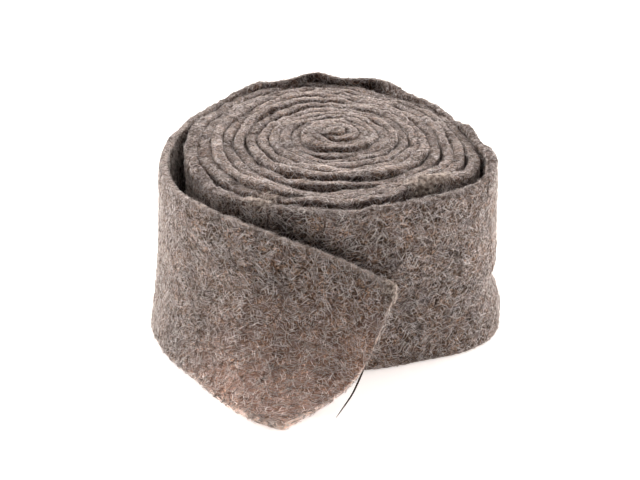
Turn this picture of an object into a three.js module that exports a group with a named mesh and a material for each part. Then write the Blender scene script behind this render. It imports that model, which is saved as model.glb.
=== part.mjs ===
// A roll of wool felt: one long strip of thick felt, standing on its edge, wound by hand from the
// middle outwards. Its loose end leaves the roll on the left, comes forward and lies down.
// Millimetres, +Z up. The strip is laid out about the roll's axis, then the whole is moved so that
// the origin is the bottom centre of its box.
import * as THREE from 'three';

const feltThickness = 4;
const stripHeight = 75;
const halfThickness = feltThickness / 2;
const pieceGap = 0.5;
const axisFromOrigin = new THREE.Vector3(5.46, 20.45, 0);

// Distance of the strip's middle from the axis, turn by turn, in six directions seen from above.
// The turns run anticlockwise. The roll is drawn in at the right and slack at the back and front.
// The last two values lie past the end of the wound part and only steer the curve.
const windings = [
  { right: 2.4, backRight: 3.2, backLeft: 4.0, left: 4.8, frontLeft: 5.6, frontRight: 6.4 },
  { right: 7.1, backRight: 7.9, backLeft: 8.7, left: 9.5, frontLeft: 10.3, frontRight: 11.0 },
  { right: 11.8, backRight: 12.5, backLeft: 13.4, left: 14.1, frontLeft: 14.9, frontRight: 15.6 },
  { right: 16.3, backRight: 17.0, backLeft: 18.0, left: 18.7, frontLeft: 19.5, frontRight: 20.2 },
  { right: 20.8, backRight: 21.5, backLeft: 22.6, left: 23.3, frontLeft: 24.3, frontRight: 25.0 },
  { right: 25.3, backRight: 26.1, backLeft: 27.3, left: 28.0, frontLeft: 29.2, frontRight: 29.8 },
  { right: 29.9, backRight: 30.8, backLeft: 32.4, left: 33.2, frontLeft: 34.8, frontRight: 35.2 },
  { right: 34.5, backRight: 35.9, backLeft: 39.3, left: 38.4, frontLeft: 41.3, frontRight: 41.4 },
  { right: 39.2, backRight: 40.7, backLeft: 44.9, left: 43.6, frontLeft: 48.4, frontRight: 48.2 },
  { right: 43.8, backRight: 45.4, backLeft: 51.4, left: 48.8, frontLeft: 53.8, frontRight: 53.0 },
  { right: 48.4, backRight: 50.1, backLeft: 56.4, left: 53.9, frontLeft: 59.0, frontRight: 57.8 },
  { right: 53.0, backRight: 54.9, backLeft: 61.4, left: 59.0, frontLeft: 64.6, frontRight: 62.8 },
  { right: 57.6, backRight: 59.7, backLeft: 67.2, left: 64.6, frontLeft: 74.4, frontRight: 72.0 },
  { right: 62.8, backRight: 64.8, backLeft: 77.0, left: 72.8, frontLeft: 80.0, frontRight: 90.0 },
];
const lastTurn = 13.46;

// Height of the wound strip's upper edge: the core stands proud and each turn sits a little apart.
const turnTops = [77.0, 77.6, 77.2, 76.8, 76.2, 76.4, 75.6, 75.2, 76.0, 75.0, 75.6, 74.6, 75.0, 75.2, 75.4];

// Places where the strip bulges (push, outwards), rides up (lift) or spreads at its foot (splay), and
// the arc in degrees that each fades over.
const bulges = [
  { turn: 8.38, arc: 16, push: 1.0, lift: 1.8, splay: 0 },
  { turn: 10.66, arc: 11, push: 0.4, lift: 2.2, splay: 0 },
  { turn: 11.84, arc: 12, push: 0.4, lift: 2.0, splay: 0 },
  { turn: 12.91, arc: 21, push: 8.2, lift: 0.4, splay: 5.0 },
  { turn: 13.205, arc: 11, push: 7.2, lift: 1.2, splay: 0 },
  { turn: 13.27, arc: 9, push: 4.4, lift: 2.6, splay: 0 },
  { turn: 13.34, arc: 9, push: 1.6, lift: 1.2, splay: 0 },
  { turn: 13.41, arc: 23, push: -4.4, lift: 0, splay: 0 },
];

// The loose end beyond the last turn, station by station: where the middle of its lower edge (foot,
// x and y) and of its upper edge (head, x, y and z) runs, how far its surface leans back from upright
// at each edge, in degrees, and how deep its belly is. It comes to lie down, and is cut at a slant.
const looseEnd = [
  { foot: [-75.8, 2.0], head: [-72.6, 2.4, 75.4], footLean: 4, headLean: 1, belly: 1.0 },
  { foot: [-80.0, -18.0], head: [-74.4, -15.6, 75.4], footLean: 9, headLean: 2, belly: 1.0 },
  { foot: [-81.8, -33.8], head: [-73.2, -31.0, 75.4], footLean: 13, headLean: 2, belly: 1.0 },
  { foot: [-79.8, -45.9], head: [-70.6, -44.2, 75.2], footLean: 15, headLean: 2, belly: 1.0 },
  { foot: [-76.0, -56.6], head: [-64.8, -57.0, 74.8], footLean: 18, headLean: 3, belly: 1.0 },
  { foot: [-71.0, -67.4], head: [-55.0, -67.6, 73.8], footLean: 24, headLean: 4, belly: 1.05 },
  { foot: [-64.2, -77.4], head: [-42.8, -75.8, 72.0], footLean: 32, headLean: 6, belly: 1.1 },
  { foot: [-56.8, -87.0], head: [-29.4, -81.2, 69.0], footLean: 42, headLean: 8, belly: 1.15 },
  { foot: [-49.9, -96.8], head: [-15.4, -83.2, 64.4], footLean: 54, headLean: 10, belly: 1.2 },
  { foot: [-42.6, -106.0], head: [-1.8, -82.6, 58.6], footLean: 67, headLean: 14, belly: 1.3 },
  { foot: [-33.8, -113.8], head: [11.4, -82.8, 52.0], footLean: 79, headLean: 18, belly: 1.45 },
  { foot: [-22.4, -119.6], head: [23.2, -84.6, 45.4], footLean: 88, headLean: 22, belly: 1.65 },
];
const stationsPerRow = 3;

const feltMaterial = (color) => new THREE.MeshStandardMaterial({ color, roughness: 0.95, metalness: 0 });

// Cubic through a list of evenly spaced numbers, with the slope at each set by its two neighbours.
function smoothAt(values, position) {
  const last = values.length - 1;
  const i = THREE.MathUtils.clamp(Math.floor(position), 0, last - 1);
  const t = position - i;
  const before = values[Math.max(i - 1, 0)];
  const after = values[Math.min(i + 2, last)];
  const startSlope = (values[i + 1] - before) / 2;
  const endSlope = (after - values[i]) / 2;
  const rise = values[i + 1] - values[i];
  const a = startSlope + endSlope - 2 * rise;
  const b = 3 * rise - 2 * startSlope - endSlope;
  return ((a * t + b) * t + startSlope) * t + values[i];
}

const directions = ['right', 'backRight', 'backLeft', 'left', 'frontLeft', 'frontRight'];
const woundRadii = windings.flatMap((row) => directions.map((direction) => row[direction]));

// How much of a bulge is felt at a turn: one at its middle, fading as a bell curve.
const bulgeShare = (bulge, turn) => Math.exp(-(((turn - bulge.turn) * 360 / bulge.arc) ** 2));
const bulgeSum = (turn, key) => bulges.reduce((sum, bulge) => sum + bulge[key] * bulgeShare(bulge, turn), 0);

function woundMiddle(turn, height) {
  const spread = bulgeSum(turn, 'splay') * (1 - height / stripHeight);
  const radius = smoothAt(woundRadii, turn * directions.length) + bulgeSum(turn, 'push') + spread;
  const angle = turn * 2 * Math.PI;
  return new THREE.Vector2(radius * Math.cos(angle), radius * Math.sin(angle));
}

const woundTop = (turn) => smoothAt(turnTops, turn) + bulgeSum(turn, 'lift');

// Outline of the wound strip across its width, from the outer foot round the upper edge and back:
// side is the share of half a thickness, and each height is measured from the foot or the top.
const woundOutline = [
  { side: 0.6, fromFoot: 0 },
  { side: 1, fromFoot: 0.9 },
  { side: 1, fromTop: 2.2 },
  { side: 0.7, fromTop: 0.7 },
  { side: 0, fromTop: 0 },
  { side: -0.7, fromTop: 0.7 },
  { side: -1, fromTop: 2.2 },
  { side: -1, fromFoot: 0.9 },
  { side: -0.6, fromFoot: 0 },
];

function woundSection(turn) {
  const step = 0.002;
  const along = woundMiddle(turn + step, 0).sub(woundMiddle(turn - step, 0)).normalize();
  const outwards = new THREE.Vector2(along.y, -along.x);
  return woundOutline.map(({ side, fromFoot, fromTop }) => {
    const height = fromFoot ?? woundTop(turn) - fromTop;
    const point = woundMiddle(turn, height).addScaledVector(outwards, side * halfThickness);
    return new THREE.Vector3(point.x, point.y, height);
  });
}

// The small turns of the core need fewer sections than the wide outer ones.
const sectionSpacing = [
  { upTo: 4, perTurn: 18 },
  { upTo: 9, perTurn: 27 },
  { upTo: lastTurn, perTurn: 36 },
];

function woundStations() {
  const stations = [];
  let from = 0;
  for (const { upTo, perTurn } of sectionSpacing) {
    const count = Math.round((upTo - from) * perTurn);
    for (let i = 0; i < count; i += 1) {
      stations.push(from + (upTo - from) * i / count);
    }
    from = upTo;
  }
  stations.push(lastTurn);
  return stations;
}

// The loose end starts from the wound strip's last section, so the strip runs on without a step.
function startOfLooseEnd() {
  const end = woundMiddle(lastTurn, 0);
  const along = new THREE.Vector2(-end.y, end.x).normalize();
  const foot = end.addScaledVector(along, pieceGap).toArray();
  return { foot, head: [...foot, woundTop(lastTurn)], footLean: 0, headLean: 0, belly: 1 };
}
const looseRows = [startOfLooseEnd(), ...looseEnd];
const looseValue = (pick, position) => smoothAt(looseRows.map(pick), position);

// Point on the middle of the loose end: share 0 is its foot and 1 its head. Each section is a cubic
// that leaves the foot and reaches the head at the two leans. The foot's inner corner is on the floor.
function looseMiddle(position, share) {
  const footLean = THREE.MathUtils.degToRad(looseValue((row) => row.footLean, position));
  const headLean = THREE.MathUtils.degToRad(looseValue((row) => row.headLean, position));
  const footHeight = halfThickness * Math.sin(footLean);
  const [footX, footY] = [0, 1].map((axis) => looseValue((row) => row.foot[axis], position));
  const [headX, headY, headHeight] = [0, 1, 2].map((axis) => looseValue((row) => row.head[axis], position));
  const inwards = new THREE.Vector3(headX - footX, headY - footY, 0);
  const reach = inwards.length();
  inwards.divideScalar(Math.max(reach, 1e-6));
  const pull = Math.hypot(reach, headHeight - footHeight) * looseValue((row) => row.belly, position);
  const leaving = (lean) => inwards.clone().multiplyScalar(Math.sin(lean)).setZ(Math.cos(lean));
  const t = share;
  return new THREE.Vector3(footX, footY, footHeight).multiplyScalar((1 + 2 * t) * (1 - t) ** 2)
    .addScaledVector(new THREE.Vector3(headX, headY, headHeight), t * t * (3 - 2 * t))
    .addScaledVector(leaving(footLean), pull * t * (1 - t) ** 2)
    .addScaledVector(leaving(headLean), pull * t * t * (t - 1));
}

// Outline of the loose end across its width, from the outer foot up, over the head and back down.
const looseShares = [0.02, 0.12, 0.24, 0.38, 0.54, 0.72, 0.88, 0.975];
const looseOutline = [
  { side: 0.55, share: 0 },
  ...looseShares.map((share) => ({ side: 1, share })),
  { side: 0.45, share: 1 },
  { side: -0.45, share: 1 },
  ...looseShares.toReversed().map((share) => ({ side: -1, share })),
  { side: -0.55, share: 0 },
];

function looseSection(position) {
  const step = 0.01;
  return looseOutline.map(({ side, share }) => {
    const along = looseMiddle(position + step, share).sub(looseMiddle(position - step, share));
    const up = looseMiddle(position, share + step).sub(looseMiddle(position, share - step));
    const outwards = along.cross(up).normalize();
    const point = looseMiddle(position, share).addScaledVector(outwards, side * halfThickness);
    point.z = Math.max(point.z, 0);
    return point;
  });
}

// Closed skin over a row of sections that all have the same number of points.
function stripGeometry(sections) {
  const size = sections[0].length;
  const positions = sections.flat().flatMap((point) => point.toArray());
  const faces = [];
  for (let i = 0; i < sections.length - 1; i += 1) {
    for (let j = 0; j < size; j += 1) {
      const a = i * size + j;
      const b = i * size + (j + 1) % size;
      faces.push(a, a + size, b, b, a + size, b + size);
    }
  }
  const end = (sections.length - 1) * size;
  for (let j = 0; j < size - 2 - j; j += 1) {
    const k = size - 1 - j;
    faces.push(j, j + 1, k, end + j, end + k, end + j + 1);
    if (j + 1 < k - 1) {
      faces.push(j + 1, k - 1, k, end + j + 1, end + k, end + k - 1);
    }
  }
  const geometry = new THREE.BufferGeometry();
  geometry.setAttribute('position', new THREE.Float32BufferAttribute(positions, 3));
  geometry.setIndex(faces);
  geometry.computeVertexNormals();
  return geometry;
}

function feltPiece(name, color, sections) {
  const mesh = new THREE.Mesh(stripGeometry(sections), feltMaterial(color));
  mesh.name = name;
  mesh.position.copy(axisFromOrigin);
  return mesh;
}

const looseSections = [];
for (let i = 0; i <= (looseRows.length - 1) * stationsPerRow; i += 1) {
  looseSections.push(looseSection(i / stationsPerRow));
}

const feltRoll = new THREE.Group();
feltRoll.name = 'felt_roll';
feltRoll.add(feltPiece('wound_roll', 0x83745f, woundStations().map(woundSection)));
feltRoll.add(feltPiece('loose_end', 0x8c7c67, looseSections));

export default feltRoll;
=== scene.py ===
import math

import bpy
import numpy as np
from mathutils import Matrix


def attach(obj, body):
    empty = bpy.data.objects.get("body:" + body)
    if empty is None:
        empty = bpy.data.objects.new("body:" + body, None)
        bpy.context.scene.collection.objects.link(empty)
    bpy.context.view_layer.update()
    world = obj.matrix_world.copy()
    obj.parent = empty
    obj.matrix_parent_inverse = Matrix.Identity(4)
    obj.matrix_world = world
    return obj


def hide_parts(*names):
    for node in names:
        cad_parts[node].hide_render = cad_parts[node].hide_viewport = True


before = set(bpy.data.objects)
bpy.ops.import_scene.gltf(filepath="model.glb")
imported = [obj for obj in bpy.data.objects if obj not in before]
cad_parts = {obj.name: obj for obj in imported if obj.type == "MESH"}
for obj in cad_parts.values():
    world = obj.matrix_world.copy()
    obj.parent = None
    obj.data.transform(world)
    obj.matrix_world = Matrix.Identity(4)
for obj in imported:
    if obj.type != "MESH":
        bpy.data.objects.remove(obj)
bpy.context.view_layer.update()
print("frame loaded:", sorted(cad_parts))

# Sizes are in millimetres unless a note says otherwise; a mesh is scaled to metres as it is made.
metresPerMm = 0.001

shot = {
    "place": (-2.15, -583.8, 332.1),
    "elevation": 27,     # degrees above level, looking along +Y
    "lens": 82.27,
    "sensor": 36,
}


def makeCamera():
    lensData = bpy.data.cameras.new("camera")
    lensData.lens = shot["lens"]
    lensData.sensor_width = shot["sensor"]
    camera = bpy.data.objects.new("camera", lensData)
    camera.location = np.array(shot["place"]) * metresPerMm
    camera.rotation_euler = (math.radians(90 - shot["elevation"]), 0, 0)
    bpy.context.collection.objects.link(camera)
    bpy.context.scene.camera = camera


makeCamera()


# sRGB hex to linear: the dark part is a straight line, the rest a power of 2.4
def linearColour(hexColour):
    shares = [int(hexColour[i:i + 2], 16) / 255 for i in (1, 3, 5)]
    return (*[s / 12.92 if s <= 0.04045 else ((s + 0.055) / 1.055) ** 2.4 for s in shares], 1.0)


# Settings go on the node itself; a socket gets a value, or a link where another node's output is given
def addNode(tree, kind, sockets={}, **settings):
    node = tree.nodes.new(kind)
    for name, value in settings.items():
        setattr(node, name, value)
    for socket, value in sockets.items():
        if isinstance(value, bpy.types.NodeSocket):
            tree.links.new(value, node.inputs[socket])
        else:
            node.inputs[socket].default_value = value
    return node


# A value and the range that it crosses: where it starts and ends, then what that gives at each (0 and 1)
def crossing(value, row):
    return {"Value": value, **dict(zip(("From Min", "From Max", "To Min", "To Max"), row))}


def newMaterial(name):
    material = bpy.data.materials.new(name)
    material.use_nodes = True
    material.node_tree.nodes.clear()
    return material


# Points are an array of places, faces an array of corner numbers with three or four to a face; runMap,
# where there is one, gives each corner of each face its place on the material in metres
def makeMesh(name, points, faces, material, runMap=None):
    mesh = bpy.data.meshes.new(name)
    corners = faces.shape[1]
    mesh.vertices.add(len(points))
    mesh.vertices.foreach_set("co", (points * metresPerMm).astype(np.float32).ravel())
    mesh.loops.add(faces.size)
    mesh.loops.foreach_set("vertex_index", faces.astype(np.int32).ravel())
    mesh.polygons.add(len(faces))
    mesh.polygons.foreach_set("loop_start", np.arange(0, faces.size, corners, dtype=np.int32))
    mesh.polygons.foreach_set("use_smooth", np.ones(len(faces), dtype=bool))
    if runMap is not None:
        layer = mesh.uv_layers.new(name="feltRun")
        layer.uv.foreach_set("vector", (runMap * metresPerMm).astype(np.float32).ravel())
    mesh.update(calc_edges=True)
    mesh.validate()
    mesh.materials.append(material)
    piece = bpy.data.objects.new(name, mesh)
    bpy.context.collection.objects.link(piece)
    return piece


# Value noise from -1 to 1: seeded random numbers on a cube lattice, blended with a smooth step
def lumps(points, size, seed):
    side = 32
    lattice = np.random.default_rng(seed).uniform(-1, 1, (side, side, side))
    place = points / size + 100.0
    cell = np.floor(place).astype(int)
    t = place - cell
    t = t * t * (3 - 2 * t)
    total = np.zeros(points.shape[:-1])
    for corner in np.ndindex(2, 2, 2):
        share = np.ones(points.shape[:-1])
        for axis in range(3):
            share = share * (t[..., axis] if corner[axis] else 1 - t[..., axis])
        i, j, k = [(cell[..., axis] + corner[axis]) % side for axis in range(3)]
        total = total + share * lattice[i, j, k]
    return total


# Cubic through evenly spaced values, with the slope at each set by its two neighbours
def smoothAt(values, position):
    values = np.asarray(values, dtype=float)
    last = len(values) - 1
    i = np.clip(np.floor(position).astype(int), 0, last - 1)
    t = position - i
    before = values[np.maximum(i - 1, 0)]
    after = values[np.minimum(i + 2, last)]
    rise = values[i + 1] - values[i]
    startSlope = (values[i + 1] - before) / 2
    endSlope = (after - values[i]) / 2
    a = startSlope + endSlope - 2 * rise
    b = 3 * rise - 2 * startSlope - endSlope
    return ((a * t + b) * t + startSlope) * t + values[i]


feltStrip = {
    "thickness": 4.3,
    "width": 75,
    "axis": (5.46, 20.45, 0),
    "lastTurn": 13.46,
    # distance of the strip's middle from the axis at 0, 60, 120, 180, 240 and 300 degrees, a row a turn
    "windings": [
        [1.7, 2.3, 3.1, 4.0, 5.0, 6.0],
        [7.1, 7.9, 8.7, 9.5, 10.3, 11.0],
        [11.8, 12.5, 13.4, 14.1, 14.9, 15.6],
        [16.3, 17.0, 18.0, 18.7, 19.5, 20.2],
        [20.8, 21.5, 22.6, 23.3, 24.3, 25.0],
        [25.3, 26.1, 27.3, 28.0, 29.2, 29.8],
        [29.9, 30.8, 32.4, 33.2, 34.8, 35.2],
        [34.5, 35.9, 39.3, 38.4, 41.3, 41.4],
        [39.2, 40.7, 44.9, 43.6, 48.4, 48.2],
        [43.8, 45.4, 51.4, 48.8, 53.8, 53.0],
        [48.4, 50.1, 56.4, 53.9, 59.0, 57.8],
        [53.0, 54.9, 61.4, 59.0, 64.6, 62.8],
        [57.6, 59.7, 67.2, 64.6, 74.4, 72.0],
        [62.6, 64.2, 75.6, 73.0, 80.0, 90.0],
    ],
    "turnTops": [80.2, 79.6, 78.4, 77.6, 76.6, 76.4, 75.8, 75.6, 76.2, 75.0, 75.6, 74.8, 75.0, 75.2, 75.4],
    # turn, arc in degrees, push outwards, lift of the upper edge, splay of the foot
    "bulges": [
        (8.38, 16, 1.0, 1.8, 0),
        (10.66, 11, 0.4, 2.2, 0),
        (11.84, 12, 0.4, 2.0, 0),
        (9.917, 20, 2.0, 0, 0),
        (10.917, 20, 2.4, 0, 0),
        (11.917, 20, 5.6, 0, 0),
        (12.91, 20, 8.4, 0.4, 4.0),
        (13.062, 9, -1.0, -1.4, 0),
        (13.205, 11, 7.2, 1.2, 0),
        (13.27, 9, 4.4, 2.6, 0),
        (13.33, 8, 2.6, 1.6, 0),
        (13.41, 23, -3.6, 0, 0),
        (12.86, 16, 0, 0, 2.2),
        (12.955, 7, 1.0, 2.2, 0),
        (13.03, 7, 0.8, 2.0, 0),
        (13.40, 32, 0, -1.2, 0),
        (12.935, 13, -0.4, 0, 0),
        (9.72, 55, 0, -1.5, 0),
        (10.55, 30, 0, 0.9, 0),
        (7.45, 40, 0, -1.0, 0),
        (12.27, 55, 0, -2.4, 0),
        (11.27, 55, 0, -1.3, 0),
        (10.27, 50, 0, -0.6, 0),
        (11.84, 14, -1.0, 1.2, 0),
    ],
    # how far the turns fill their pitch at the upper edge, and the least and most pitch that counts
    "closure": {"front": 0.95, "elsewhere": 1.0, "uneven": 0.10, "most": 1.01, "pitch": (3.6, 5.6)},
    # places that open further: turn, arc in degrees, loss
    "openings": [
        (0.68, 50, 0.25),
        (1.67, 50, 0.30),
        (8.72, 60, 0.16),
        (9.72, 50, 0.10),
        (7.50, 45, 0.16),
        (5.60, 60, 0.10),
        (10.70, 40, 0.10),
        (11.20, 30, 0.12),
        (10.25, 25, 0.12),
        (8.38, 14, 0.40),
        (9.38, 12, 0.20),
    ],
    # places where a turn is pressed wider and hides the joint to its neighbours: turn, arc, gain
    "pressed": [
        (12.48, 42, 0.14),
        (11.50, 55, 0.28),
        (5.52, 60, 0.20),
        (3.40, 90, 0.20),
        (2.45, 80, 0.20),
        (4.05, 60, 0.16),
        (9.05, 45, 0.18),
        (7.10, 40, 0.16),
        (1.20, 70, 0.12),
        (10.95, 30, 0.12),
        (9.80, 25, 0.14),
        (6.30, 35, 0.14),
    ],
    # where all turns give way together: angle, arc in degrees, push at 63 mm from the axis, how fast it
    # fades towards the axis, and the last turn that feels it
    "dents": [
        (24, 20, -3.2, 1.3, 14.0),
        (100, 26, 8.5, 2.2, 12.8),
    ],
    "dentRadius": 63,
    "dentEnding": 0.2,      # turns over which a dent ends
    # buckles across the outer turn: turn, arc in degrees, height, half depth of the fold, push
    "buckles": [
        (12.945, 15, 24, 5.0, -6.6),
        (12.93, 17, 10, 8.0, 1.2),
    ],
    "startTurn": -0.5,
    "startThickness": 0.55,
    # loose end, a row a station: foot x, y; head x, y, z; foot lean, head lean in degrees; belly
    "looseEnd": [
        (-75.8, 2.0, -72.6, 2.4, 75.4, 4, 1, 1.0),
        (-80.0, -18.0, -75.2, -15.6, 75.4, 9, 2, 1.0),
        (-81.8, -33.8, -74.1, -31.0, 75.4, 13, 2, 1.0),
        (-79.8, -45.9, -71.2, -44.2, 75.2, 15, 2, 1.0),
        (-76.0, -56.6, -64.8, -57.0, 74.8, 18, 3, 1.0),
        (-71.0, -67.4, -55.0, -67.6, 73.8, 24, 4, 1.05),
        (-64.2, -77.4, -42.8, -75.8, 72.0, 32, 6, 1.1),
        (-57.2, -87.8, -29.4, -81.2, 69.0, 42, 8, 1.15),
        (-50.4, -98.0, -15.4, -83.2, 64.4, 54, 10, 1.2),
        (-43.0, -107.4, -1.8, -82.6, 58.6, 67, 14, 1.3),
        (-34.2, -115.2, 11.4, -82.8, 52.0, 79, 18, 1.45),
        (-22.6, -120.9, 23.2, -84.6, 45.4, 88, 22, 1.65),
    ],
    "joinStep": 0.036,      # turns between the two wound rows that the loose end follows on from
    # columns: mm apart in the core, inside and on what shows; growth with the radius; turns that show
    "spacing": {"core": 0.7, "inner": 1.5, "outer": 1.5, "perRadius": 0.2, "outerTurns": 1.15},
    "cutColumns": (0.25, 0.7, 1.3),     # mm from a cut end, round its edge
    "faceRows": (1.9, 5, 10, 15, 19, 22, 24.5, 27, 31, 37, 44, 51, 58, 64, 68.5, 71.2, 73.0),
    # corners of the cut end, and how the cut edges round off
    "footCorner": 1.6,
    "headCorner": 2.0,
    "edgeRound": 0.75,
    "edgeAngles": (28, 70),
    "edgePower": 0.75,
    "cutPower": 2.6,
    "leastCut": 0.12,
    # unevenness of the felt: height in mm, size in mm, seed
    "unevenness": {
        "closure": [(1.0, 28, 25), (0.7, 9, 26)],
        "wave": [(0.9, 26, 11), (0.5, 13, 12)],
        "lean": [(0.7, 11, 13)],
        "tallLean": [(0.3, 5, 14)],
        "sway": [(0.5, 17, 23), (0.3, 7, 24)],
        "rimRise": [(0.9, 34, 15), (0.6, 11, 16), (0.3, 4.5, 17)],
        "rimSwell": [(0.45, 8, 21)],
        "face": [(0.16, 10, 18)],
        "rim": [(0.3, 3.1, 19)],
        "rimJags": [(0.5, 3.0, 20), (0.35, 6.5, 22)],
    },
    "setIn": {"lean": 5, "sway": 6, "rimRise": 4},      # powers of the height: how late each sets in
    "waveShare": 0.7,
    "tallness": (1, 1, 0.4),        # lumps of this kind stand taller than they are wide
    "looseHold": 0.4,       # the loose end loses this share of the waves
    # where the strip comes loose, and where its outside shows: turns before the wound part ends, and
    # the turns over which that sets in
    "looseFrom": (0.4, 0.8),
    "outermostFrom": (1.1, 1.0),
    "outermostFill": 0.68,
    # where the fill and the swelling of the upper edge start, and over what they set in, as shares of
    # the width
    "fillFrom": (0.86, 0.12),
    "swellFrom": (0.9, 0.08),
    "outermostRise": (0.6, 0.5),        # loss of the upper edge's rise and of its jags there
    "coreWhole": 0.8,       # turn from which the strip has its whole thickness
    "endThin": {"loss": 0.3, "reach": 9, "foot": 0.1},
}


# Sum of the lumps of one kind of unevenness, each times a weight
def unevenBy(kind, points, weight=1.0):
    rows = feltStrip["unevenness"][kind]
    return sum(weight * height * lumps(points, size, seed) for height, size, seed in rows)


# Sum of bell curves along the turns, for one of the three things that a bulge does
def bulgeSum(turn, part):
    column = ("turn", "arc", "push", "lift", "splay").index(part)
    total = np.zeros(turn.shape)
    for bulge in feltStrip["bulges"]:
        total = total + bulge[column] * np.exp(-(((turn - bulge[0]) * 360 / bulge[1]) ** 2))
    return total


# Sum of bell curves in turn and height
def buckleSum(turn, height):
    total = np.zeros(turn.shape)
    for middle, arc, middleHeight, reach, push in feltStrip["buckles"]:
        fade = ((turn - middle) * 360 / arc) ** 2 + ((height - middleHeight) / reach) ** 2
        total = total + push * np.exp(-fade)
    return total


# Sum of bell curves in angle that fade with a power of the distance from the axis
def dentSum(turn, radius):
    total = np.zeros(turn.shape)
    for angle, arc, push, fade, lastTurn in feltStrip["dents"]:
        away = (turn * 360 - angle + 180) % 360 - 180
        reaches = np.clip((lastTurn - turn) / feltStrip["dentEnding"], 0, 1)
        bell = push * np.exp(-((away / arc) ** 2))
        total = total + bell * (radius / feltStrip["dentRadius"]) ** fade * reaches
    return total


# Wound part: a spiral whose radius and height are cubics of the turn; share runs from foot to upper edge
def woundMiddle(turn, share):
    radii = np.ravel(feltStrip["windings"])
    height = share * (smoothAt(feltStrip["turnTops"], turn) + bulgeSum(turn, "lift"))
    radius = np.maximum(smoothAt(radii, turn * 6), 0.3)
    radius = radius + dentSum(turn, radius) + bulgeSum(turn, "push") + buckleSum(turn, height)
    radius = radius + bulgeSum(turn, "splay") * (1 - height / feltStrip["width"])
    angle = turn * 2 * math.pi
    return np.stack([radius * np.cos(angle), radius * np.sin(angle), height], axis=-1)


# The loose end's rows follow on from two rows taken from the wound part, so the strip runs on smoothly
def looseRows():
    rows = []
    for turn in (feltStrip["lastTurn"] - feltStrip["joinStep"], feltStrip["lastTurn"]):
        foot = woundMiddle(np.array(turn), np.array(0.0))
        head = woundMiddle(np.array(turn), np.array(1.0))
        rows.append((foot[0], foot[1], head[0], head[1], head[2], 0, 0, 1))
    return np.array(rows + feltStrip["looseEnd"])


looseTable = looseRows()


# Loose end: each section is a Hermite cubic from foot to head that leaves and arrives at the two leans
def looseMiddle(position, share):
    footX, footY, headX, headY, headZ, footLean, headLean, belly = [
        smoothAt(looseTable[:, column], position + 1) for column in range(8)]
    footLean = np.radians(np.clip(footLean, 0, 90))
    headLean = np.radians(headLean)
    foot = np.stack([footX, footY, feltStrip["thickness"] / 2 * np.sin(footLean)], axis=-1)
    head = np.stack([headX, headY, headZ], axis=-1)
    inwards = (head - foot) * (1, 1, 0)
    reach = np.linalg.norm(inwards, axis=-1, keepdims=True)
    inwards = inwards / np.maximum(reach, 1e-6)
    pull = np.linalg.norm(head - foot, axis=-1, keepdims=True) * belly[..., None]
    upwards = np.array([0.0, 0.0, 1.0])
    leaving = inwards * np.sin(footLean)[..., None] + upwards * np.cos(footLean)[..., None]
    arriving = inwards * np.sin(headLean)[..., None] + upwards * np.cos(headLean)[..., None]
    t = share[..., None]
    return (foot * (1 + 2 * t) * (1 - t) ** 2 + head * t * t * (3 - 2 * t)
            + leaving * pull * t * (1 - t) ** 2 + arriving * pull * t * t * (t - 1))


# Along the strip, a value up to lastTurn is a turn and past it a row of the loose end
def stripMiddle(along, share):
    lastTurn = feltStrip["lastTurn"]
    wound = woundMiddle(np.minimum(along, lastTurn), share)
    loose = looseMiddle(np.maximum(along - lastTurn, 0), share)
    return np.where((along > lastTurn)[..., None], loose, wound)


# Share of its own thickness that a turn has at its upper edge: its pitch times the closure there
def turnFill(turn, strand):
    radii = np.ravel(feltStrip["windings"])
    pitch = (smoothAt(radii, (turn + 1) * 6) - smoothAt(radii, (turn - 1) * 6)) / 2
    closure = feltStrip["closure"]
    pitch = np.clip(pitch, *closure["pitch"])
    frontness = np.clip(-np.sin(turn * 2 * math.pi), 0, 1)
    fill = closure["elsewhere"] + (closure["front"] - closure["elsewhere"]) * frontness
    fill = fill + closure["uneven"] * unevenBy("closure", strand)
    for middle, arc, loss in feltStrip["openings"]:
        fill = fill - loss * np.exp(-(((turn - middle) * 360 / arc) ** 2))
    fill = np.minimum(fill, closure["most"])
    for middle, arc, gain in feltStrip["pressed"]:
        fill = fill + gain * np.exp(-(((turn - middle) * 360 / arc) ** 2))
    return fill * pitch / feltStrip["thickness"]


# Columns stand at even steps of length over local spacing: close in the core and on what shows
def stripColumns():
    spacing = feltStrip["spacing"]
    lastTurn = feltStrip["lastTurn"]
    end = lastTurn + len(feltStrip["looseEnd"])
    samples = 40001
    fine = np.linspace(feltStrip["startTurn"], end, samples)
    middle = stripMiddle(fine, np.full(fine.shape, 0.5))
    steps = np.linalg.norm(np.diff(middle, axis=0), axis=1)
    radius = np.linalg.norm(middle[1:, :2], axis=1)
    local = np.clip(radius * spacing["perRadius"], spacing["core"], spacing["inner"])
    local = np.where(fine[1:] > lastTurn - spacing["outerTurns"], spacing["outer"], local)
    count = np.concatenate([[0], np.cumsum(steps / local)])
    length = np.concatenate([[0], np.cumsum(steps)])
    columns = np.interp(np.linspace(0, count[-1], int(count[-1])), count, fine)
    # more columns close to each cut end round its edge
    near = np.array(feltStrip["cutColumns"])
    ends = np.concatenate([near, length[-1] - near])
    columns = np.sort(np.concatenate([columns, np.interp(ends, length, fine)]))
    return columns, np.interp(columns, fine, length)


# Half of the outline, from foot to upper edge: heights as shares of the width, and how far out it stands
# as shares of half the thickness; each edge rounds off by powers of a sine and a cosine
def halfOutline():
    edge = feltStrip["edgeRound"]
    width = feltStrip["width"]
    power = feltStrip["edgePower"]
    turnIn = np.radians(feltStrip["edgeAngles"])
    fromEdge = edge * (1 - np.sin(turnIn[::-1]) ** power)
    side = np.cos(turnIn[::-1]) ** power
    face = np.array(feltStrip["faceRows"])
    heights = np.concatenate([fromEdge, face, width - fromEdge[::-1]])
    sides = np.concatenate([side, np.ones(len(face)), side[::-1]])
    return heights / width, sides


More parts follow.
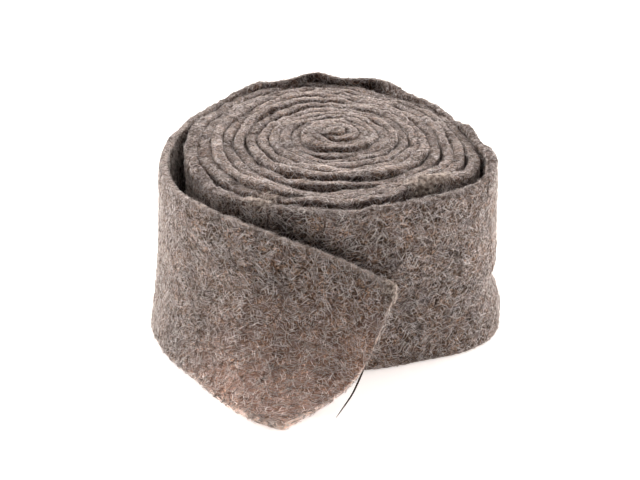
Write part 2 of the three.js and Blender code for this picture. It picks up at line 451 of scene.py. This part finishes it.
# Skin of the strip: its middle surface, moved out and in by half the thickness along the normal,
# with soft waves shared by neighbouring turns, an uneven upper edge and a lumpy face
def stripSkin():
    columns, length = stripColumns()
    shares, sides = halfOutline()
    shares = np.concatenate([shares, shares[::-1]])
    sides = np.concatenate([sides, -sides[::-1]])
    width = feltStrip["width"]
    toEnd = length[-1] - length
    lowCut = feltStrip["footCorner"]
    highCut = feltStrip["headCorner"]
    lowGone = lowCut - np.sqrt(lowCut ** 2 - np.clip(lowCut - toEnd, 0, lowCut) ** 2)
    highGone = highCut - np.sqrt(highCut ** 2 - np.clip(highCut - toEnd, 0, highCut) ** 2)
    share = lowGone[:, None] / width + shares * (1 - (lowGone + highGone)[:, None] / width)
    along = np.broadcast_to(columns[:, None], share.shape)

    middle = stripMiddle(along, share)
    comesLoose, over = feltStrip["looseFrom"]
    looseness = np.clip((along - feltStrip["lastTurn"] + comesLoose) / over, 0, 1)[..., None]
    flow = np.gradient(middle, axis=0)
    rising = stripMiddle(along, share + 0.01) - stripMiddle(along, share - 0.01)
    normal = np.cross(flow, rising)
    normal /= np.linalg.norm(normal, axis=-1, keepdims=True)

    # waves that all turns share, so that none cuts into the next
    wave = unevenBy("wave", middle)[..., None] * feltStrip["waveShare"]
    lean = unevenBy("lean", middle) + unevenBy("tallLean", middle * feltStrip["tallness"])
    lean = share[..., None] ** feltStrip["setIn"]["lean"] * lean[..., None]
    middle = middle + normal * (wave + lean) * (1 - feltStrip["looseHold"] * looseness)
    strand = np.stack([length, np.zeros_like(length), np.zeros_like(length)], axis=-1)
    sway = share[..., None] ** feltStrip["setIn"]["sway"] * unevenBy("sway", strand)[:, None, None]
    middle = middle + normal * sway * (1 - looseness)
    rimRise = unevenBy("rimRise", strand)
    # a share that is 1 on the last turn and on the loose end
    showsFrom, over = feltStrip["outermostFrom"]
    outermost = np.clip((along - feltStrip["lastTurn"] + showsFrom) / over, 0, 1)
    riseLoss, jagLoss = feltStrip["outermostRise"]
    middle[..., 2] += share ** feltStrip["setIn"]["rimRise"] * rimRise[:, None] * (1 - riseLoss * outermost)

    edge = feltStrip["edgeRound"]
    nearCut = np.minimum(toEnd, length)
    power = feltStrip["cutPower"]
    cutRound = (1 - np.clip(1 - nearCut / edge, 0, 1) ** power) ** (1 / power)
    cutRound = np.maximum(cutRound, feltStrip["leastCut"])
    coreShare = np.interp(columns, [feltStrip["startTurn"], feltStrip["coreWhole"]],
                          [feltStrip["startThickness"], 1])
    half = feltStrip["thickness"] / 2 * (cutRound * coreShare)[:, None] * sides
    # the felt thins towards its cut edges where nothing holds it; inside the roll each turn fills its pitch
    # at the upper edge to a share that changes along the strip, so that gaps open and close
    fills, over = feltStrip["fillFrom"]
    topward = np.clip((share - fills) / over, 0, 1)
    thin = feltStrip["endThin"]
    toCut = np.minimum(toEnd[:, None] / thin["reach"], share / thin["foot"])
    endward = looseness[..., 0] * np.clip(1 - toCut, 0, 1)
    rimFill = turnFill(columns, strand)[:, None]
    rimFill = rimFill * (1 - outermost) + feltStrip["outermostFill"] * outermost
    half = half * (1 + (rimFill - 1) * topward - thin["loss"] * endward * (1 - topward))
    skin = middle + normal * half[..., None]
    # cut edges swell and fray a little; the faces are only softly lumpy
    swells, over = feltStrip["swellFrom"]
    nearRim = np.clip((share - swells) / over, 0, 1)
    swell = unevenBy("rimSwell", skin, nearRim) * (1 - outermost)
    relief = swell + unevenBy("face", skin) + unevenBy("rim", skin, nearRim)
    skin = skin + normal * (relief * sides)[..., None]
    skin[..., 2] += nearRim * unevenBy("rimJags", skin) * (1 - jagLoss * outermost)
    skin[..., 2] = np.maximum(skin[..., 2], 0)
    flatOutline = np.stack([shares * width, sides * feltStrip["thickness"] / 2], axis=-1)
    flatOutline = np.linalg.norm(np.diff(flatOutline, axis=0, append=flatOutline[:1]), axis=1)
    return {"points": skin + np.array(feltStrip["axis"]), "along": along, "share": share,
            "side": np.broadcast_to(np.sign(sides), share.shape), "length": length,
            "outline": np.concatenate([[0], np.cumsum(flatOutline)]),
            "toEnd": np.broadcast_to(toEnd[:, None], share.shape)}


# Faces run along and round the strip; each cut end is closed by a ladder between its two sides
def stripFaces(rows, around):
    i, j = np.meshgrid(np.arange(rows - 1), np.arange(around), indexing="ij")
    a = i * around + j
    b = i * around + (j + 1) % around
    body = np.stack([a, a + around, b + around, b], axis=-1).reshape(-1, 4)
    k = np.arange(around // 2 - 1)
    start = np.stack([k, k + 1, around - 2 - k, around - 1 - k], axis=-1)
    return np.concatenate([body, start, start[:, ::-1] + (rows - 1) * around])


# Place of each face corner on the felt itself: millimetres along the strip, and round its outline from the
# foot; a cut end goes on from the side it closes
def stripRun(skin, faces):
    rows, around = skin["points"].shape[:2]
    row, column = faces // around, faces % around
    runLength = skin["length"][row]
    runRound = skin["outline"][column]
    closes = (column == 0) & (column.max(axis=1, keepdims=True) == around - 1)
    body = np.arange(len(faces))[:, None] < (rows - 1) * around
    runRound = np.where(body & closes, skin["outline"][-1], runRound)
    farSide = ~body & (column >= around // 2)
    runRound = np.where(farSide, skin["outline"][around - 1 - column], runRound)
    runLength = runLength + farSide * feltStrip["thickness"]
    return np.stack([runLength, runRound], axis=-1)


# Wool felt, needled and milled from undyed grey-brown fleece: a matt, hairy face where pale and dark
# hairs cross, with soft blotches of warmer brown and no gloss
feltLook = {
    "ground": "#38291f",
    "light": "#6c5a4d",
    "cool": "#736c6d",
    "warm": "#6a5345",
    "rosy": "#765c52",
    # the last of the loose end is rosier wool and, as painted light standing in for light from above, this
    # much brighter in each channel; the rosy wool and the painted light start and are full at these metres
    # along Y and along Z
    "paintedFootLight": (1.66, 1.58, 1.52, 1.0),
    "rosyLitFront": (-0.050, -0.080),
    "rosyLitFoot": (0.052, 0.010),
    "rosyLitSize": 9.0,
    "rosyLitRange": (0.3, 0.62, 0.7, 1.0),
    "sheen": "#f3e7dd",
    # painted highlight along the cut edges: its colour, its largest share, and its reach
    "edge": "#c4b4a9",
    "edgeShare": 0.75,
    "edgeReach": 0.5,       # mm from a cut edge
    # pits between the hairs
    "dark": "#140d0b",
    "speck": 1.15,
    "pitRange": (0.53, 0.38, 0.0, 0.9),
    "speckRise": 0.6,
    # patches of other wool, below the hairs and above them: size in mm, where the noise starts and is
    # full, most cover, colour, then how the noise is made
    "lowPatches": [
        (9.0, 0.36, 0.64, 1.0, "light", {"Detail": 4.0, "Roughness": 0.65}),
        (5.5, 0.52, 0.66, 0.6, "cool", {"Detail": 3.0, "Distortion": 0.5}),
        (3.6, 0.52, 0.68, 0.75, "warm", {"Detail": 3.0, "Distortion": 0.8}),
    ],
    "highPatches": [
        (4.2, 0.5, 0.7, 0.4, "warm", {"Detail": 3.0, "Distortion": 0.8}),
        (6.5, 0.52, 0.68, 0.35, "cool", {"Detail": 3.0, "Distortion": 0.5}),
    ],
    # size in mm, detail, darkest and lightest: broad clouds and the grain of crossing hairs
    "clouds": [(10.0, 3.0, 0.5, 1.6), (1.1, 1.0, 0.36, 1.62), (0.6, 1.0, 0.1, 1.8)],
    "cloudRange": (0.36, 0.64),
    "bumpDepth": 0.4,
    "bend": {"spacing": 6.0, "reach": 0.85, "starts": (0.0, 0.37)},
    # layers of hairs drawn on the face, lowest first and coarser than real wool so that they show:
    # angle to the strip in degrees, spacing in mm, length over width, width over spacing, dull, bright
    "hairs": [
        (12, 0.72, 10, 0.29, "#0d0705", "#33231a"),
        (78, 0.76, 11, 0.29, "#0d0705", "#3a291f"),
        (134, 0.64, 11, 0.25, "#1d130e", "#533d2f"),
        (44, 0.58, 10, 0.27, "#48372c", "#867161"),
        (102, 0.54, 10, 0.26, "#4d3c31", "#8f7a69"),
        (158, 0.58, 10, 0.26, "#48372c", "#98816f"),
        (27, 0.64, 11, 0.20, "#5c5152", "#e4dcda"),
        (66, 0.59, 11, 0.19, "#594e4f", "#ddd6d5"),
        (119, 0.74, 13, 0.18, "#6e6362", "#f8f4f4"),
        (8, 0.78, 13, 0.17, "#6e6362", "#efedef"),
        (148, 1.15, 20, 0.12, "#a59a96", "#fdf9f8"),
        (57, 1.35, 22, 0.11, "#a59a96", "#fdf9f8"),
    ],
    "firstPale": 6,     # hairs from this layer on lie over the grain
    "hairShift": (0.013, 0.029),        # metres by which each layer is moved on from the one below
    "hairSoft": 0.45,       # share of a hair's width that is fully its own colour
    "hairRise": (0.3, 0.07),        # height of the lowest layer, and how much each next one adds
}


def feltMaterial():
    material = newMaterial("milledWoolFelt")
    tree = material.node_tree
    place = addNode(tree, "ShaderNodeTexCoord").outputs["Object"]
    run = addNode(tree, "ShaderNodeUVMap", uv_map="feltRun").outputs[0]

    # each patch is noise of its own size, cut to a share of another colour
    def patch(colour, size, low, high, most, wool, noise):
        cloud = addNode(tree, "ShaderNodeTexNoise", {"Vector": place, "Scale": 1000 / size, **noise})
        share = addNode(tree, "ShaderNodeMapRange", crossing(cloud.outputs["Fac"], (low, high, 0.0, most)))
        shades = {0: share.outputs[0], 6: colour, 7: linearColour(feltLook[wool])}
        return addNode(tree, "ShaderNodeMix", shades, data_type="RGBA").outputs[2]

    colour = linearColour(feltLook["ground"])
    for row in feltLook["lowPatches"]:
        colour = patch(colour, *row)

    # dark pits between the hairs
    speck = addNode(tree, "ShaderNodeTexNoise", {"Vector": place, "Scale": 1000 / feltLook["speck"],
                                                 "Detail": 2.0, "Roughness": 0.6})
    darkShare = addNode(tree, "ShaderNodeMapRange", crossing(speck.outputs["Fac"], feltLook["pitRange"]))
    shades = {0: darkShare.outputs["Result"], 6: colour, 7: linearColour(feltLook["dark"])}
    colour = addNode(tree, "ShaderNodeMix", shades, data_type="RGBA").outputs[2]
    height = addNode(tree, "ShaderNodeMath", {0: speck.outputs["Fac"], 1: feltLook["speckRise"]},
                     operation="MULTIPLY").outputs[0]

    # two slow swirls bend the hairs, so that every second layer curls its own way
    bend = feltLook["bend"]
    reach = bend["reach"] * 2 * metresPerMm
    bends = []
    for start in bend["starts"]:
        spun = addNode(tree, "ShaderNodeVectorMath", {0: run, 1: (start, start, 0.0)}, operation="ADD")
        swirl = addNode(tree, "ShaderNodeTexNoise", {"Vector": spun.outputs[0], "Detail": 1.0,
                                                     "Scale": 1000 / bend["spacing"]})
        shift = addNode(tree, "ShaderNodeVectorMath", {0: swirl.outputs["Color"], 1: (0.5, 0.5, 0.5)},
                        operation="SUBTRACT")
        shift = addNode(tree, "ShaderNodeVectorMath", {0: shift.outputs[0], 1: (reach, reach, 0.0), 2: run},
                        operation="MULTIPLY_ADD")
        bends.append(shift.outputs[0])

    # a hair is the middle of one cell of a stretched cell pattern, with a shade of its own
    shiftX, shiftY = feltLook["hairShift"]
    lowest, added = feltLook["hairRise"]
    for index, (angle, spacing, stretch, width, dull, bright) in enumerate(feltLook["hairs"]):
        if index == feltLook["firstPale"]:
            for size, detail, low, high in feltLook["clouds"]:
                cloud = addNode(tree, "ShaderNodeTexNoise", {"Vector": place, "Scale": 1000 / size,
                                                             "Detail": detail})
                row = (*feltLook["cloudRange"], low, high)
                tone = addNode(tree, "ShaderNodeMapRange", crossing(cloud.outputs["Fac"], row))
                colour = addNode(tree, "ShaderNodeVectorMath", {0: colour, "Scale": tone.outputs[0]},
                                 operation="SCALE").outputs[0]
            # painted highlight: the cut edges are made paler where their fuzz catches light
            edge = addNode(tree, "ShaderNodeAttribute", attribute_name="paintedEdgeLight").outputs["Fac"]
            shades = {0: edge, 6: colour, 7: linearColour(feltLook["edge"])}
            colour = addNode(tree, "ShaderNodeMix", shades, data_type="RGBA").outputs[2]
        turned = addNode(tree, "ShaderNodeMapping", {
            "Vector": bends[index % 2], "Location": (shiftX * index, shiftY * index, 0.0),
            "Rotation": (0.0, 0.0, math.radians(angle)), "Scale": (stretch, 1.0, 1.0)},
            vector_type="TEXTURE")
        cell = addNode(tree, "ShaderNodeTexVoronoi", {"Vector": turned.outputs[0], "Scale": 1000 / spacing},
                       voronoi_dimensions="2D", feature="F1")
        row = (width, width * feltLook["hairSoft"])
        line = addNode(tree, "ShaderNodeMapRange", crossing(cell.outputs["Distance"], row),
                       interpolation_type="SMOOTHSTEP")
        own = addNode(tree, "ShaderNodeSeparateColor", {0: cell.outputs["Color"]})
        shades = {0: own.outputs[0], 6: linearColour(dull), 7: linearColour(bright)}
        shade = addNode(tree, "ShaderNodeMix", shades, data_type="RGBA")
        shades = {0: line.outputs[0], 6: colour, 7: shade.outputs[2]}
        colour = addNode(tree, "ShaderNodeMix", shades, data_type="RGBA").outputs[2]
        raised = addNode(tree, "ShaderNodeMath", {0: line.outputs[0], 1: lowest + added * index},
                         operation="MULTIPLY")
        height = addNode(tree, "ShaderNodeMath", {0: height, 1: raised.outputs[0]},
                         operation="MAXIMUM").outputs[0]

    # warmer and cooler wool goes in patches through the hairs too
    for row in feltLook["highPatches"]:
        colour = patch(colour, *row)

    # the last of the loose end is rosier wool and brighter by painted light, towards its front and its foot
    spot = addNode(tree, "ShaderNodeSeparateXYZ", {0: place})
    towardsFront = addNode(tree, "ShaderNodeMapRange", crossing(spot.outputs["Y"], feltLook["rosyLitFront"]))
    towardsFoot = addNode(tree, "ShaderNodeMapRange", crossing(spot.outputs["Z"], feltLook["rosyLitFoot"]))
    rosy = addNode(tree, "ShaderNodeTexNoise", {"Vector": place, "Scale": 1000 / feltLook["rosyLitSize"],
                                                "Detail": 3.0})
    rosyLitPatch = addNode(tree, "ShaderNodeMapRange", crossing(rosy.outputs["Fac"], feltLook["rosyLitRange"]))
    rosyAndLitShare = addNode(tree, "ShaderNodeMath", {0: towardsFront.outputs[0], 1: towardsFoot.outputs[0]},
                        operation="MULTIPLY")
    rosyAndLitShare = addNode(tree, "ShaderNodeMath", {0: rosyAndLitShare.outputs[0], 1: rosyLitPatch.outputs[0]},
                        operation="MULTIPLY")
    # the screen adds the rosy wool's tint, and together with the multiply it adds painted light that
    # brightens this part
    for blend, tint in (("SCREEN", linearColour(feltLook["rosy"])), ("MULTIPLY", feltLook["paintedFootLight"])):
        colour = addNode(tree, "ShaderNodeMix", {0: rosyAndLitShare.outputs[0], 6: colour, 7: tint},
                         data_type="RGBA", blend_type=blend).outputs[2]
    bump = addNode(tree, "ShaderNodeBump", {"Height": height, "Strength": 0.9,
                                            "Distance": feltLook["bumpDepth"] * metresPerMm})
    # the sheen is the light that the fine fuzz over the face catches at a slant
    felt = addNode(tree, "ShaderNodeBsdfPrincipled", {
        "Base Color": colour, "Roughness": 0.95, "IOR": 1.5, "Specular IOR Level": 0.15,
        "Sheen Weight": 1.0, "Sheen Roughness": 0.28, "Sheen Tint": linearColour(feltLook["sheen"]),
        "Normal": bump.outputs[0]})
    addNode(tree, "ShaderNodeOutputMaterial", {"Surface": felt.outputs[0]})
    return material


# Where the skin faces and how many millimetres one step along or round it is, for what grows on it
def measureSkin(skin):
    points = skin["points"]
    alongStep = np.gradient(points, axis=0)
    roundStep = (np.roll(points, -1, axis=1) - np.roll(points, 1, axis=1)) / 2
    normal = np.cross(alongStep, roundStep)
    lengths = np.linalg.norm(normal, axis=-1, keepdims=True)
    skin["normals"] = normal / np.maximum(lengths, 1e-9)
    skin["areas"] = lengths[..., 0]
    steps = [np.linalg.norm(step, axis=-1) for step in (alongStep, roundStep)]
    skin["steps"] = np.stack(steps, axis=-1)


# Blend of the four grid values round each place; the columns close on themselves
def onSkin(grid, row, column):
    row = np.clip(row, 0, grid.shape[0] - 1.001)
    i = row.astype(int)
    j = np.floor(column).astype(int)
    u = (row - i)[..., None]
    v = (column - j)[..., None]
    j, after = j % grid.shape[1], (j + 1) % grid.shape[1]
    near = grid[i, j] * (1 - v) + grid[i, after] * v
    far = grid[i + 1, j] * (1 - v) + grid[i + 1, after] * v
    return near * (1 - u) + far * u


# Loose fibres are a few times thicker than real wool, so that they show. Shared by all: spread of their
# radii, a path's lowest point in radii, which keeps the thickest out of the floor, powers of their arch
# and taper, and the least mm to a step of the skin
fibreShape = {"spread": (0.7, 1.3), "offFloor": 1.4, "arch": 0.8, "taper": 0.4, "leastStep": 0.2}


# Fibres walk over the skin in short steps whose heading turns a little each time; each rises from the
# felt, arches and sinks or stands free at its tip, and is a three-sided tube with pointed ends
def growFibres(skin, fibres, weights, material):
    rng = np.random.default_rng(fibres["seed"])
    count, steps = fibres["count"], fibres["rings"] + 1
    chance = np.cumsum((weights * skin["areas"]).ravel())
    picked = np.searchsorted(chance, rng.uniform(0, chance[-1], count))
    row, column = [index.astype(float) for index in np.unravel_index(picked, skin["areas"].shape)]
    row += rng.uniform(-0.5, 0.5, count)
    column += rng.uniform(-0.5, 0.5, count)
    length = rng.uniform(*fibres["length"], count)
    heading = rng.uniform(0, 2 * math.pi, count)
    curl = rng.normal(0, fibres["curl"], count)
    rise = rng.uniform(*fibres["rise"], count)
    tipRise = rng.uniform(*fibres["tipRise"], count)
    path, facing = [], []
    for step in range(steps + 1):
        t = step / steps
        height = -fibres["root"] + rise * math.sin(math.pi * t) ** fibreShape["arch"] + tipRise * t ** 2
        normal = onSkin(skin["normals"], row, column)
        normal = normal / np.linalg.norm(normal, axis=-1, keepdims=True)
        path.append(onSkin(skin["points"], row, column) + normal * height[:, None])
        facing.append(normal)
        scale = np.maximum(onSkin(skin["steps"], row, column), fibreShape["leastStep"])
        row = row + np.cos(heading) * length / steps / scale[:, 0]
        column = column + np.sin(heading) * length / steps / scale[:, 1]
        heading = heading + curl + rng.normal(0, fibres["wander"], count)
    path = np.stack(path, axis=1)
    path[..., 2] = np.maximum(path[..., 2], fibreShape["offFloor"] * fibres["radius"])
    radius = fibres["radius"] * rng.uniform(*fibreShape["spread"], (count, 1))
    return tubes(fibres["name"], path, np.stack(facing, axis=1), radius, material)


# Three-sided tubes along paths: rings stand square to the path, and each end closes in a point. A radius
# is given for each tube, or for each of its rings
def tubes(name, path, facing, radius, material):
    count, knots = path.shape[:2]
    tangent = np.gradient(path, axis=1)
    across = np.cross(tangent, facing)
    across = across / np.maximum(np.linalg.norm(across, axis=-1, keepdims=True), 1e-9)
    upwards = np.cross(across, tangent)
    upwards = upwards / np.maximum(np.linalg.norm(upwards, axis=-1, keepdims=True), 1e-9)
    turn = np.radians([90, 210, 330])
    taper = np.sin(np.linspace(0, math.pi, knots)[1:-1]) ** fibreShape["taper"]
    size = (radius * taper)[:, :, None, None]
    spokes = np.cos(turn)[:, None] * across[:, 1:-1, None]
    spokes = spokes + np.sin(turn)[:, None] * upwards[:, 1:-1, None]
    rings = (path[:, 1:-1, None] + spokes * size).reshape(count, -1, 3)
    points = np.concatenate([path[:, :1], rings, path[:, -1:]], axis=1)

    tip = 1 + 3 * (knots - 2)
    faces = []
    for k in range(3):
        after = (k + 1) % 3
        faces.append((1 + k, 1 + after, 0))
        faces.append((tip - 3 + after, tip - 3 + k, tip))
        for ring in range(knots - 3):
            a, b = 1 + 3 * ring + k, 1 + 3 * ring + after
            faces += [(a, a + 3, b + 3), (a, b + 3, b)]
    faces = np.array(faces) + (np.arange(count) * points.shape[1])[:, None, None]
    return makeMesh(name, points.reshape(-1, 3), faces.reshape(-1, 3), material)


skin = stripSkin()
measureSkin(skin)
rows, around = skin["points"].shape[:2]
faces = stripFaces(rows, around)
felt = makeMesh("feltStrip", skin["points"].reshape(-1, 3), faces, feltMaterial(), stripRun(skin, faces))
# millimetres to the nearest cut edge, turned into a share that is whole at the edge
toRim = np.minimum(1 - skin["share"], skin["share"]) * feltStrip["width"]
toCut = np.minimum(toRim, skin["toEnd"])
# the wound turns show a quarter of it
shows = np.clip((skin["along"] - feltStrip["lastTurn"] + 0.1) / 0.1, 0.25, 1)
# painted highlight: paler towards each cut edge
paintedEdgeLight = feltLook["edgeShare"] * np.exp(-(toCut / feltLook["edgeReach"]) ** 2) * shows
edgeValues = felt.data.attributes.new("paintedEdgeLight", "FLOAT", "POINT")
edgeValues.data.foreach_set("value", paintedEdgeLight.astype(np.float32).ravel())
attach(felt, "root")
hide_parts("wound_roll", "loose_end")


# Loose wool fibres: matt, slightly see-through hairs whose shade drifts along and between them over
# "drift" millimetres; "through" is the share of light that they let pass
fibreLook = {"drift": 1.6, "range": (0.38, 0.62), "through": 0.3}


def fibreMaterial(name, dull, bright):
    material = newMaterial(name)
    tree = material.node_tree
    place = addNode(tree, "ShaderNodeTexCoord").outputs["Object"]
    drift = addNode(tree, "ShaderNodeTexNoise", {"Vector": place, "Scale": 1000 / fibreLook["drift"],
                                                 "Detail": 1.0})
    share = addNode(tree, "ShaderNodeMapRange", crossing(drift.outputs["Fac"], fibreLook["range"]))
    shades = {0: share.outputs[0], 6: linearColour(dull), 7: linearColour(bright)}
    colour = addNode(tree, "ShaderNodeMix", shades, data_type="RGBA")
    wool = addNode(tree, "ShaderNodeBsdfPrincipled", {"Base Color": colour.outputs[2], "Roughness": 0.7,
                                                      "IOR": 1.5, "Specular IOR Level": 0.3})
    glow = addNode(tree, "ShaderNodeBsdfTranslucent", {"Color": colour.outputs[2]})
    both = addNode(tree, "ShaderNodeMixShader", {0: fibreLook["through"], 1: wool.outputs[0],
                                                 2: glow.outputs[0]})
    addNode(tree, "ShaderNodeOutputMaterial", {"Surface": both.outputs[0]})
    return material


# Where fibres grow: turns whose outside shows, weights of the loose end's two faces, share of the width
# where a rim starts and how soon it is whole, and reach in mm of the fuzz on a cut
fleece = {"turns": 1.02, "front": 1.2, "back": 0.5, "rimStart": 0.93, "rimSoft": 0.05, "cutReach": 1.5}

# What shows: the outside of the last turn, both faces of the loose end, and every upper edge
lastTurn = feltStrip["lastTurn"]
onLoose = (skin["along"] > lastTurn).astype(float)
onOutside = ((skin["along"] > lastTurn - fleece["turns"]) & (skin["side"] > 0)).astype(float)
onFaces = np.maximum(onLoose * np.where(skin["side"] > 0, fleece["front"], fleece["back"]), onOutside)
onRims = np.clip((skin["share"] - fleece["rimStart"]) / fleece["rimSoft"], 0, 1)
onCuts = np.maximum(onLoose, skin["along"] > lastTurn - 1) * np.exp(-(toCut / fleece["cutReach"]) ** 2)

# a few places of the upper edges where the felt is pulled up into a tuft: x, y and reach in mm
tuftSpots = [(-25.4, -43.4, 3.2), (39.8, -31.9, 3.6), (46.0, -25.0, 3.0), (28.7, -64.1, 2.5)]
onTufts = 0.0
for x, y, reach in tuftSpots:
    away = (skin["points"][..., 0] - x) ** 2 + (skin["points"][..., 1] - y) ** 2
    onTufts = onTufts + onRims * np.exp(-away / reach ** 2)

fibrePieces = [
    {"name": "rimFuzz", "seed": 31, "count": 11000, "rings": 3, "length": (1.4, 3.8), "curl": 0.2,
     "wander": 0.3, "rise": (0.1, 0.6), "tipRise": (-0.2, 0.9), "root": 0.15, "radius": 0.1,
     "where": onRims + 2.0 * onCuts, "shades": ("#80756f", "#ddd6d3")},
    {"name": "rimDown", "seed": 36, "count": 9000, "rings": 2, "length": (0.8, 2.6), "curl": 0.3,
     "wander": 0.3, "rise": (0.1, 0.7), "tipRise": (0.1, 1.3), "root": 0.15, "radius": 0.12,
     "where": onRims + 1.2 * onCuts + 0.08 * onFaces, "shades": ("#554842", "#a3978f")},
    {"name": "paleHairs", "seed": 32, "count": 8200, "rings": 4, "length": (2.5, 7.0), "curl": 0.18,
     "wander": 0.2, "rise": (0.1, 0.6), "tipRise": (-0.2, 1.7), "root": 0.12, "radius": 0.08,
     "where": onFaces, "shades": ("#94887f", "#f4eeea")},
    {"name": "brownHairs", "seed": 33, "count": 5000, "rings": 3, "length": (2.0, 5.0), "curl": 0.22,
     "wander": 0.25, "rise": (0.1, 0.5), "tipRise": (-0.2, 0.6), "root": 0.12, "radius": 0.11,
     "where": onFaces + 0.5 * onRims, "shades": ("#2c1f18", "#6e5240")},
    {"name": "longHairs", "seed": 34, "count": 3400, "rings": 7, "length": (7.0, 18.0), "curl": 0.16,
     "wander": 0.2, "rise": (0.1, 0.7), "tipRise": (-0.2, 1.2), "root": 0.12, "radius": 0.08,
     "where": onFaces + 0.35 * onRims, "shades": ("#b0a59e", "#f8f4f1")},
    {"name": "tufts", "seed": 35, "count": 2600, "rings": 4, "length": (2.0, 5.5), "curl": 0.35,
     "wander": 0.4, "rise": (0.2, 1.5), "tipRise": (-0.3, 1.6), "root": 0.1, "radius": 0.11,
     "where": onTufts, "shades": ("#99887c", "#f2e8df")},
]
for fibres in fibrePieces:
    wool = fibreMaterial(fibres["name"] + "Wool", *fibres["shades"])
    fluff = growFibres(skin, fibres, fibres["where"], wool)
    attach(fluff, "root")
    print(fibres["name"], len(fluff.data.polygons), "faces")

# a thin dark strand, thickest at its top, runs from the loose end's cut end down to the floor
darkStrand = {
    "path": [
        (17.0, -74.2, 17.0),
        (15.5, -74.7, 12.5),
        (13.4, -77.5, 8.5),
        (10.9, -81.1, 5.0),
        (7.2, -85.8, 1.8),
        (4.1, -91.3, 0.4),
    ],
    "rings": 22,
    "radius": (0.66, 0.36),
    "facing": (0.6, -0.5, 0.6),     # which way its first corner looks
    "shades": ("#1c0f0a", "#3a2015"),
}
position = np.linspace(0, len(darkStrand["path"]) - 1, darkStrand["rings"] + 2)
strandPath = np.stack([smoothAt(axis, position) for axis in np.transpose(darkStrand["path"])], axis=-1)
strandFacing = np.broadcast_to(darkStrand["facing"], (1, *strandPath.shape))
strandRadius = np.linspace(*darkStrand["radius"], darkStrand["rings"])
stray = tubes("darkStrand", strandPath[None], strandFacing, strandRadius[None],
              fibreMaterial("darkStrandLook", *darkStrand["shades"]))
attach(stray, "root")
print("stray hair made")


# Plain matt paper on a light table, lit a little from below: even white, with no gloss or grain
stage = {
    "floorSize": 20.0,      # metres
    "floorDrop": 0.0002,        # metres, so that the felt's foot and the paper don't share a plane
    "floorColour": "#f6f3f0",
    "floorGlow": 0.56,
    "glowColour": (1.0, 0.945, 0.92, 1.0),
    # light tent: start and end along its axis of the direction, and the strength at each
    "tentColour": (1.0, 0.955, 0.943, 1.0),
    "behind": (-0.12, 0.6, 0.03, 3.5),
    "beside": (0.66, 1.0, 0.0, 16.3),
    "backwards": (-0.35, 0.15, 0.06, 1.0),
    "lower": (0.65, 0.15, 0.25, 1.0),
}


def makeStage():
    half = stage["floorSize"] / 2
    floorMesh = bpy.data.meshes.new("floor")
    floorMesh.from_pydata([(-half, -half, 0), (half, -half, 0), (half, half, 0), (-half, half, 0)], [],
                          [(0, 1, 2, 3)])
    floor = bpy.data.objects.new("floor", floorMesh)
    floor.location.z = -stage["floorDrop"]
    bpy.context.collection.objects.link(floor)
    material = newMaterial("paperSweep")
    tree = material.node_tree
    paper = addNode(tree, "ShaderNodeBsdfPrincipled", {"Base Color": linearColour(stage["floorColour"]),
                                                       "Roughness": 0.9, "Specular IOR Level": 0.1,
                                                       "Emission Color": stage["glowColour"],
                                                       "Emission Strength": stage["floorGlow"]})
    addNode(tree, "ShaderNodeOutputMaterial", {"Surface": paper.outputs[0]})
    floorMesh.materials.append(material)

    # a light tent: bright at the sides and behind, dim towards the camera's side
    world = bpy.data.worlds.new("lightTent")
    bpy.context.scene.world = world
    world.use_nodes = True
    tree = world.node_tree
    tree.nodes.clear()
    direction = addNode(tree, "ShaderNodeTexCoord").outputs["Generated"]
    parts = addNode(tree, "ShaderNodeSeparateXYZ", {0: direction})
    sideways = addNode(tree, "ShaderNodeMath", {0: parts.outputs["X"]}, operation="ABSOLUTE")
    ranges = {}
    for name, value, curve in (("behind", parts.outputs["Y"], "SMOOTHSTEP"),
                               ("beside", sideways.outputs[0], "SMOOTHSTEP"),
                               ("backwards", parts.outputs["Y"], "LINEAR"),
                               ("lower", parts.outputs["Z"], "LINEAR")):
        ranges[name] = addNode(tree, "ShaderNodeMapRange", crossing(value, stage[name]),
                               interpolation_type=curve).outputs[0]
    fade = addNode(tree, "ShaderNodeMath", {0: ranges["backwards"], 1: ranges["lower"]},
                   operation="MULTIPLY")
    strength = addNode(tree, "ShaderNodeMath", {0: ranges["beside"], 1: fade.outputs[0],
                                                2: ranges["behind"]}, operation="MULTIPLY_ADD")
    glow = addNode(tree, "ShaderNodeBackground", {"Color": stage["tentColour"],
                                                  "Strength": strength.outputs[0]})
    addNode(tree, "ShaderNodeOutputWorld", {"Surface": glow.outputs[0]})
    print("stage made")


makeStage()
bpy.context.scene.view_settings.view_transform = "Standard"
